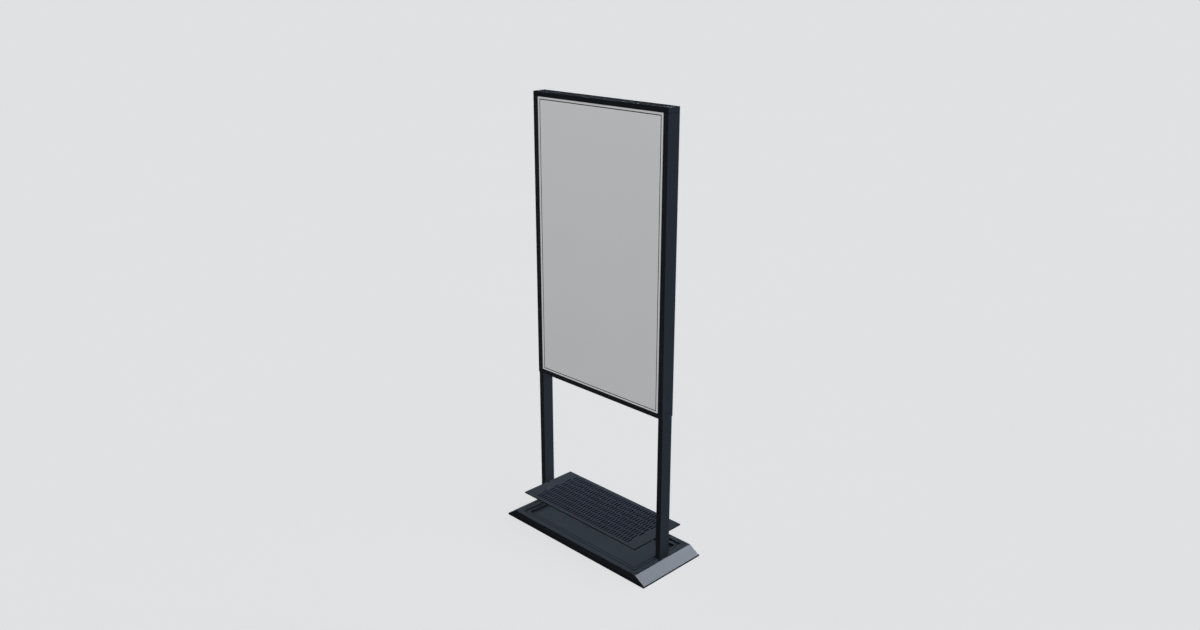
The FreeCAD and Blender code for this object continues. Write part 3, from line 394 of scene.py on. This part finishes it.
def softened(pts, r, n=4):
    """A closed outline, drawn anticlockwise, with its outer corners rounded to radius r."""
    out = []
    for k, (x, y) in enumerate(pts):
        (ax, ay), (bx, by) = pts[k - 1], pts[(k + 1) % len(pts)]
        d1, d2 = Vector((x - ax, y - ay)).normalized(), Vector((bx - x, by - y)).normalized()
        turn = math.atan2(d1.cross(d2), d1.dot(d2))
        if turn < math.radians(15):
            out.append((x, y))
            continue
        n1, n2 = Vector((d1.y, -d1.x)), Vector((d2.y, -d2.x))
        c = Vector((x, y)) - (n1 + n2) * r / (1.0 + n1.dot(n2))
        a0 = math.atan2(n1.y, n1.x)
        out += [(c.x + r * math.cos(a0 + turn * j / n), c.y + r * math.sin(a0 + turn * j / n)) for j in range(n + 1)]
    return out


def rolled(outline, top, r, sign, steps=3):
    """Rings of a rounded upper edge: outline(grow) at height top, radius r. sign -1 for an outer edge, 1 for a hole."""
    rings = []
    for k in range(steps + 1):
        a = math.radians(90.0 * k / steps)
        rings.append((outline(sign * r * (1 - math.sin(a))), top - r * (1 - math.cos(a))))
    return rings


class Sheet:
    """A flat sheet with holes, as one closed mesh. Each wall is a list of (outline, height) rings from top to bottom."""

    def __init__(self):
        self.bm = bmesh.new()

    def wall(self, rings, look=0):
        loops = [[self.bm.verts.new((x, y, z)) for x, y in pts] for pts, z in rings]
        for up, low in zip(loops, loops[1:]):
            for k in range(len(up)):
                f = self.bm.faces.new((up[k - 1], up[k], low[k], low[k - 1]))
                f.material_index = look
                f.smooth = True
        return loops[0], loops[-1]

    def cap(self, loops, look=0):
        edges = [self.bm.edges.get((lp[k - 1], lp[k])) or self.bm.edges.new((lp[k - 1], lp[k])) for lp in loops for k in range(len(lp))]
        made = bmesh.ops.triangle_fill(self.bm, use_beauty=True, use_dissolve=False, edges=edges, normal=(0, 0, 1))
        for f in made["geom"]:
            if isinstance(f, bmesh.types.BMFace):
                f.material_index = look
                f.smooth = False

    def done(self, name, looks, place=None):
        bmesh.ops.recalc_face_normals(self.bm, faces=self.bm.faces)
        if place is not None:
            self.bm.transform(place)
            if place.determinant() < 0:
                bmesh.ops.reverse_faces(self.bm, faces=self.bm.faces)
        for e in self.bm.edges:
            e.smooth = e.calc_face_angle(0.0) < math.radians(38)
        mesh = bpy.data.meshes.new(name)
        self.bm.to_mesh(mesh)
        self.bm.free()
        mesh.transform(Matrix.Scale(MM, 4))
        for look in looks:
            mesh.materials.append(look)
        obj = bpy.data.objects.new(name, mesh)
        SCENE.collection.objects.link(obj)
        return obj


def slotted_cover():
    """The cover: 3 mm sheet with rolled slot edges and a deeper rim round the pocket for the liner."""
    sh = Sheet()
    top, low, under = 138.5, 133.5, 135.5
    outer = sh.wall(rolled(lambda g: oblong(-353, 353, -147, 147, 2.0, g), top, 0.6, -1)
                    + [(oblong(-353, 353, -147, 147, 2.0), low + 0.4), (oblong(-352.6, 352.6, -146.6, 146.6, 1.6), low)], look=1)
    slots, screws = [], []
    for r in range(7):
        cy = (r - 3) * 37.7
        shift = 3.975 if r % 2 == 0 else -3.975
        for c in range(37):
            cx = (c - 18) * 15.9 + shift
            slots.append(sh.wall(rolled(lambda g: stadium(cx, cy, 7.6, 33.4, g), top, 0.5, 1)
                                 + [(stadium(cx, cy, 7.6, 33.4), under)], look=2))
    for x in (-346.0, 346.0):
        screws.append(sh.wall(rolled(lambda g: disc(x, 0, 5.7 + g), top, 0.3, 1)
                              + [(disc(x, 0, 5.7), top - 1.2), (disc(x, 0, 3.2), top - 3.7), (disc(x, 0, 3.2), low)], look=1))
    pocket = sh.wall([(oblong(-306, 306, -137, 137, 4.0), under), (oblong(-306, 306, -137, 137, 4.0), low)])
    sh.cap([outer[0]] + [w[0] for w in slots + screws])
    sh.cap([pocket[0]] + [w[1] for w in slots])
    sh.cap([outer[1], pocket[1]] + [w[1] for w in screws])
    obj = sh.done("slotted_cover", [LOOKS["cover_paint"], LOOKS["plate_edge"], LOOKS["slot_wall"]])
    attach(obj, "cover")
    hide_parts("cover_plate")
    return obj


def vented_back():
    """The sheet behind the display, with rolled vent slots and screw holes."""
    sh = Sheet()
    t = 2.0
    edge = lambda g: oblong(-353.4, 353.4, 722.6, 1951.4, 1.5, g)
    outer = sh.wall(rolled(edge, t, 0.5, -1) + [(edge(0.0), 0.0)])
    holes = []
    for zc in (850.0, 1840.0):
        for row in (-1, 0, 1):
            for k in range(31):
                cx, cy = -225.0 + 15.0 * k, zc + 56.0 * row
                holes.append(sh.wall(rolled(lambda g: stadium(cx, cy, 5.0, 46.0, g), t, 0.4, 1) + [(stadium(cx, cy, 5.0, 46.0), 0.0)]))
    pts = [(s * 343.0, z) for s in (-1, 1) for z in (760.0, 1050.0, 1336.0, 1622.0, 1912.0)]
    pts += [(x, z) for x in (-190.0, 0.0, 190.0) for z in (733.2, 1940.8)]
    for x, z in pts:
        holes.append(sh.wall([(disc(x, z, 2.2), t), (disc(x, z, 2.2), 0.0)]))
    sh.cap([outer[0]] + [w[0] for w in holes])
    sh.cap([outer[1]] + [w[1] for w in holes])
    # drawn flat, then stood up: drawing x, y, height become x, z, y
    place = Matrix(((1, 0, 0, 0), (0, 0, 1, 41.0), (0, 1, 0, 0), (0, 0, 0, 1)))
    obj = sh.done("vented_back", [LOOKS["frame_paint"]], place)
    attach(obj, "stele")
    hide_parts("rear_cover")
    return obj


def top_grille():
    """The slotted strip under the opening in the top rail."""
    sh = Sheet()
    top, low = 1970.5, 1969.0
    edge = lambda g: oblong(-357.0, 357.0, -18.0, 42.0, 2.0, g)
    outer = sh.wall(rolled(edge, top, 0.3, -1) + [(edge(0.0), low)])
    holes = []
    for k in range(114):
        cx = -339.0 + 6.0 * k
        holes.append(sh.wall(rolled(lambda g: stadium(cx, 12.0, 3.0, 42.0, g), top, 0.4, 1) + [(stadium(cx, 12.0, 3.0, 42.0), low)]))
    sh.cap([outer[0]] + [w[0] for w in holes])
    sh.cap([outer[1]] + [w[1] for w in holes])
    obj = sh.done("top_grille", [LOOKS["grille_paint"]])
    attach(obj, "stele")
    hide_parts("vent_grille")
    return obj


def standing(x, y, z):
    """Drawing x, y and height become x, z and y, about the given point: for what is set in a rear face."""
    return Matrix(((1, 0, 0, x), (0, 0, 1, y), (0, 1, 0, z), (0, 0, 0, 1)))


def mains_socket():
    """The mains inlet: rounded flange, keyed recess with three plated pins, and the tabs behind it."""
    sh = Sheet()
    flange = sh.wall(rolled(lambda g: oblong(-25, 25, -12, 12, 3.0, g), 1.8, 0.7, -1) + [(oblong(-25, 25, -12, 12, 3.0), 0.0)])
    body = sh.wall([(oblong(-13.8, 13.8, -10.1, 10.1, 1.2), 0.0), (oblong(-13.8, 13.8, -10.1, 10.1, 1.2), -23.3),
                    (oblong(-13.1, 13.1, -9.4, 9.4, 0.8), -24.0)])
    key = softened([(-12.0, -8.2), (12.0, -8.2), (12.0, 3.2), (7.0, 8.2), (-7.0, 8.2), (-12.0, 3.2)], 1.0)
    mouth = sh.wall(rolled(lambda g: offset(key, g), 1.8, 0.6, 1) + [(key, -14.5), (offset(key, -0.5), -15.0)])
    screws = [sh.wall([(disc(x, 0, 2.9), 1.8), (disc(x, 0, 1.6), 0.5), (disc(x, 0, 1.6), 0.0)]) for x in (-20.0, 20.0)]
    pins, tabs = [], []
    for x, z in ((-7.0, -2.0), (7.0, -2.0), (0.0, 2.0)):
        blade = lambda g: oblong(x - 1.0, x + 1.0, z - 2.0, z + 2.0, 0.5, g)
        pins.append(sh.wall([(blade(-0.45), -3.4), (blade(-0.12), -3.7), (blade(0.0), -4.3), (blade(0.0), -15.0)], look=1))
    for x, z in ((-7.0, -2.0), (7.0, -2.0), (0.0, 4.0)):
        tab = lambda g: oblong(x - 2.4, x + 2.4, z - 0.4, z + 0.4, 0.25, g)
        tabs.append(sh.wall([(tab(0.0), -24.0), (tab(0.0), -30.4), (tab(-0.2), -31.0)], look=1))
    sh.cap([flange[0], mouth[0]] + [w[0] for w in screws])
    sh.cap([flange[1], body[0]] + [w[1] for w in screws])
    sh.cap([body[1]] + [w[0] for w in tabs])
    sh.cap([mouth[1]] + [w[1] for w in pins])
    for w in pins:
        sh.cap([w[0]], look=1)
    for w in tabs:
        sh.cap([w[1]], look=1)
    obj = sh.done("mains_socket", [LOOKS["black_plastic"], LOOKS["zinc_steel"]], standing(-280.0, 177.5, 20.0))
    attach(obj, "stele")
    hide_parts("power_inlet")


def switch_housing():
    """The frame that the mains switch's rocker turns in."""
    sh = Sheet()
    flange = sh.wall(rolled(lambda g: oblong(-11, 11, -7.8, 7.8, 1.2, g), 1.4, 0.6, -1) + [(oblong(-11, 11, -7.8, 7.8, 1.2), 0.0)])
    body = sh.wall([(oblong(-9.4, 9.4, -6.4, 6.4, 0.8), 0.0), (oblong(-9.4, 9.4, -6.4, 6.4, 0.8), -16.5), (oblong(-8.9, 8.9, -5.9, 5.9, 0.5), -17.0)])
    mouth = sh.wall(rolled(lambda g: oblong(-8.8, 8.8, -5.1, 5.1, 0.5, g), 1.4, 0.4, 1) + [(oblong(-8.8, 8.8, -5.1, 5.1, 0.5), -10.6)])
    blades = []
    for x in (-6.0, 6.0):
        tab = lambda g: oblong(x - 0.4, x + 0.4, -2.4, 2.4, 0.25, g)
        blades.append(sh.wall([(tab(0.0), -17.0), (tab(0.0), -23.5), (tab(-0.2), -24.0)], look=1))
    sh.cap([flange[0], mouth[0]])
    sh.cap([flange[1], body[0]])
    sh.cap([body[1]] + [w[0] for w in blades])
    sh.cap([mouth[1]])
    for w in blades:
        sh.cap([w[1]], look=1)
    obj = sh.done("switch_housing", [LOOKS["black_plastic"], LOOKS["zinc_steel"]], standing(-222.0, 177.5, 20.0))
    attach(obj, "stele")
    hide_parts("rocker_housing")


def switch_rocker():
    """The rocker, dished along its length, with the usual line and ring let into its two ends."""
    dish = lambda x: 3.4 + 1.2 * (x / 7.6) ** 2
    xs = [7.6 - 15.2 * k / 16 for k in range(17)]
    outline = softened([(-7.6, 1.2), (-2.0, -4.2), (2.0, -4.2), (7.6, 1.2)] + [(x, dish(x)) for x in xs], 0.5)
    turned = Matrix.Translation((-222.0, 173.4, 20.0)) @ Matrix.Rotation(math.radians(9.0), 4, "Z")
    sh = Sheet()
    side = sh.wall(rolled(lambda g: offset(outline, g), 4.7, 0.5, -1) + [(offset(outline, -0.5 * (1 - math.cos(math.radians(a)))), -4.7 + 0.5 * (1 - math.sin(math.radians(a)))) for a in (0, 30, 60, 90)])
    sh.cap([side[0]])
    sh.cap([side[1]])
    for x, ring in ((-4.6, False), (4.6, True)):
        lean = math.atan(2.0 * 1.2 * x / 7.6 ** 2)
        spot = Matrix.Translation((x, dish(x) + 0.03, 0.0)) @ Matrix.Rotation(lean, 4, "Z") @ Matrix(((1, 0, 0, 0), (0, 0, 1, 0), (0, -1, 0, 0), (0, 0, 0, 1)))
        mark = Sheet()
        outer = disc(0, 0, 1.7, 32) if ring else oblong(-0.28, 0.28, -1.7, 1.7, 0.25)
        rim = mark.wall([(outer, 0.05), (outer, -0.15)], look=1)
        if ring:
            core = mark.wall([(disc(0, 0, 1.2, 32), 0.05), (disc(0, 0, 1.2, 32), -0.15)], look=1)
            mark.cap([rim[0], core[0]], look=1)
            mark.cap([rim[1], core[1]], look=1)
        else:
            mark.cap([rim[0]], look=1)
            mark.cap([rim[1]], look=1)
        bmesh.ops.recalc_face_normals(mark.bm, faces=mark.bm.faces)
        mark.bm.transform(spot)
        loose = bpy.data.meshes.new("mark")
        mark.bm.to_mesh(loose)
        mark.bm.free()
        sh.bm.from_mesh(loose)
        bpy.data.meshes.remove(loose)
    obj = sh.done("switch_rocker_cap", [LOOKS["rocker_black"], LOOKS["mark_white"]], turned)
    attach(obj, "switch_rocker")
    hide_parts("rocker")


COVER = slotted_cover()
vented_back()
top_grille()
mains_socket()
switch_housing()
switch_rocker()


# ---------------------------------------------------------------- stage
def studio_floor():
    mesh = bpy.data.meshes.new("studio_floor")
    n, reach = 8, 100.0
    bm = bmesh.new()
    bmesh.ops.create_grid(bm, x_segments=n, y_segments=n, size=reach)
    bm.to_mesh(mesh)
    bm.free()
    floor = bpy.data.objects.new("studio_floor", mesh)
    SCENE.collection.objects.link(floor)
    k = Look("pale_floor")
    tone = k.noise(0.8, 3.0, 0.5)
    shade = k.mix(k.span(tone, 0.3, 0.7), (0.490, 0.495, 0.500), (0.505, 0.510, 0.515))
    k.set(Base_Color=shade, Roughness=0.9)
    k.bsdf.inputs["Specular IOR Level"].default_value = 0.0
    k.bsdf.inputs["Emission Color"].default_value = (0.690, 0.692, 0.690, 1.0)
    k.bsdf.inputs["Emission Strength"].default_value = 1.0
    k.mat.cycles.emission_sampling = "NONE"   # it lights nothing, so no sample is spent on it
    mesh.materials.append(k.mat)
    floor.visible_diffuse = False
    floor.visible_glossy = False
    floor.visible_transmission = False
    floor.visible_shadow = False
    return floor


def studio_backdrop():
    """A plain half dome behind everything, so that low views see no horizon."""
    mesh = bpy.data.meshes.new("studio_backdrop")
    bm = bmesh.new()
    bmesh.ops.create_uvsphere(bm, u_segments=64, v_segments=32, radius=85.0)
    bmesh.ops.delete(bm, geom=[v for v in bm.verts if v.co.z < -20.0], context="VERTS")
    bmesh.ops.reverse_faces(bm, faces=bm.faces)
    for f in bm.faces:
        f.smooth = True
    bm.to_mesh(mesh)
    bm.free()
    dome = bpy.data.objects.new("studio_backdrop", mesh)
    SCENE.collection.objects.link(dome)
    k = Look("pale_backdrop")
    tone = k.noise(0.02, 2.0, 0.5)
    glow = k.new("ShaderNodeEmission")
    k.wire(k.mix(k.span(tone, 0.3, 0.7), (0.738, 0.746, 0.754), (0.744, 0.752, 0.760)), glow.inputs["Color"])
    k.wire(glow.outputs[0], k.out.inputs["Surface"])
    k.tree.nodes.remove(k.bsdf)
    k.mat.cycles.emission_sampling = "NONE"
    mesh.materials.append(k.mat)
    dome.visible_diffuse = False
    dome.visible_glossy = False
    dome.visible_transmission = False
    dome.visible_shadow = False
    return dome


FLOOR = studio_floor()
DOME = studio_backdrop()


def studio_world():
    world = bpy.data.worlds.new("studio")
    SCENE.world = world
    world.use_nodes = True
    t = world.node_tree
    t.nodes.clear()
    out = t.nodes.new("ShaderNodeOutputWorld")
    back = t.nodes.new("ShaderNodeBackground")
    way = t.nodes.new("ShaderNodeTexCoord")
    dot = t.nodes.new("ShaderNodeVectorMath")
    dot.operation = "DOT_PRODUCT"
    dot.inputs[1].default_value = Vector((0.75, 0.66, 0.0)).normalized()
    t.links.new(way.outputs["Generated"], dot.inputs[0])
    ramp = t.nodes.new("ShaderNodeValToRGB")
    span = t.nodes.new("ShaderNodeMapRange")
    span.inputs["From Min"].default_value = -1.0
    span.inputs["From Max"].default_value = 1.0
    t.links.new(dot.outputs["Value"], span.inputs["Value"])
    t.links.new(span.outputs[0], ramp.inputs["Fac"])
    ramp.color_ramp.interpolation = "EASE"
    stops = ramp.color_ramp.elements
    stops[0].position, stops[0].color = 0.52, (0.044, 0.049, 0.056, 1)
    stops[1].position, stops[1].color = 0.90, (0.275, 0.350, 0.475, 1)
    t.links.new(ramp.outputs["Color"], back.inputs["Color"])
    t.links.new(back.outputs[0], out.inputs["Surface"])


studio_world()
PART = bpy.data.collections.new("lit_part")
FIXED = bpy.data.collections.new("lit_without_cover")
LIFT = bpy.data.collections.new("lit_cover")
SHADE = bpy.data.collections.new("shading_from_left")
UPRIGHT = bpy.data.collections.new("lit_uprights")
BACK = bpy.data.collections.new("lit_back")
INNER = bpy.data.collections.new("lit_left_post")
for group in (PART, FIXED, LIFT, SHADE, UPRIGHT, BACK, INNER):
    SCENE.collection.children.link(group)


def aim(obj, at, target):
    obj.location = at
    obj.rotation_euler = (Vector(target) - Vector(at)).to_track_quat("-Z", "Y").to_euler()


def sun(name, towards, strength, spread, colour, receivers=None, blockers=None):
    lamp = bpy.data.lights.new(name, "SUN")
    lamp.energy = strength
    lamp.angle = math.radians(spread)
    lamp.color = colour
    lamp.cycles.use_multiple_importance_sampling = blockers is None   # so that only the blockers throw its shadows
    obj = bpy.data.objects.new(name, lamp)
    SCENE.collection.objects.link(obj)
    aim(obj, Vector(towards) * 4.0, (0, 0, 0))
    obj.light_linking.receiver_collection = receivers or PART
    if blockers is not None:
        obj.light_linking.blocker_collection = blockers
    return obj


sun("front_key", (0.35, -0.75, 0.56), 2.6, 40.0, (0.985, 0.99, 1.0))
sun("rear_right", (0.237, 0.639, 0.733), 2.81, 30.0, (0.79, 0.88, 1.0), FIXED, FIXED)
sun("rear_left", (-0.62, 0.64, 0.50), 0.126, 18.0, (0.605, 0.757, 1.0), FIXED, SHADE)
sun("rear_left_cover", (-0.62, 0.64, 0.50), 0.150, 18.0, (0.646, 0.77, 1.0), LIFT, SHADE)
sun("left_side", (-0.93, 0.22, -0.20), 2.4, 40.0, (0.80, 0.89, 1.0), UPRIGHT)
sun("back_left", (-0.62, 0.70, -0.28), 0.16, 40.0, (0.80, 0.88, 1.0), UPRIGHT)
sun("back_fill", (0.0, 0.94, -0.34), 0.75, 100.0, (0.82, 0.90, 1.0), BACK)
sun("left_post_inner", (0.66, 0.66, -0.34), 0.065, 40.0, (0.65, 0.76, 1.0), INNER, INNER)


def low_fill(name, at, watts, size, colour, group):
    """A small soft lamp for one group only, where the cover hides the studio from it."""
    lamp = bpy.data.lights.new(name, "POINT")
    lamp.energy = watts
    lamp.shadow_soft_size = size
    lamp.color = colour
    lamp.cycles.use_multiple_importance_sampling = False
    obj = bpy.data.objects.new(name, lamp)
    SCENE.collection.objects.link(obj)
    obj.location = at
    obj.visible_camera = False
    obj.light_linking.receiver_collection = group
    obj.light_linking.blocker_collection = group


low_fill("left_post_low", (-0.1692, 0.1772, 0.0604), 0.133, 0.06, (0.60, 0.73, 1.0), INNER)


# ---------------------------------------------------------------- camera
def photo_camera():
    az, el = math.radians(45.11), math.radians(18.84)
    back = Vector((math.sin(az) * math.cos(el), -math.cos(az) * math.cos(el), math.sin(el)))
    cam = bpy.data.cameras.new("photo_camera")
    cam.sensor_width = 36.0
    cam.lens = 31.14
    cam.clip_end = 600.0
    obj = bpy.data.objects.new("photo_camera", cam)
    SCENE.collection.objects.link(obj)
    obj.location = (2.9607, -2.9516, 2.4889)
    obj.rotation_euler = (-back).to_track_quat("-Z", "Y").to_euler()
    SCENE.camera = obj


photo_camera()
SCENE.view_settings.view_transform = "Standard"
SCENE.view_settings.look = "None"

# ---------------------------------------------------------------- light linking: everything but the stage
ON_COVER = set(frame["record"]["behaviour"]["bodies"]["cover"]) | {COVER.name}
UP = {"post_left", "post_right", "stile_left", "stile_right", "bottom_rail", "spigot_screws", "cable_grommets"}
# what is shut in the display, the posts and the base gets only what falls through the vents
SHUT_IN = {"lcd_chassis", "crossbar_lower", "crossbar_upper", "crossbar_screws", "vesa_bolts", "power_supply", "control_board",
           "board_standoffs", "media_player", "cover_lugs", "corner_brackets", "bracket_screws", "mains_lead", "spigot_left",
           "spigot_right", "foot_left", "foot_right", "post_bolts", "ballast_left", "ballast_right", "ballast_screws"}
for obj in list(bpy.data.objects):
    if obj.type == "MESH" and obj not in (FLOOR, DOME) and obj.name not in SHUT_IN:
        PART.objects.link(obj)
        if obj.name in ON_COVER:
            LIFT.objects.link(obj)
        else:
            FIXED.objects.link(obj)
            if obj.name not in ("post_left", "post_right"):
                SHADE.objects.link(obj)
        if obj.name == "post_left":
            INNER.objects.link(obj)
        if obj.name in UP:
            UPRIGHT.objects.link(obj)
        if obj.name in ("vented_back", "rear_cover_screws"):
            BACK.objects.link(obj)
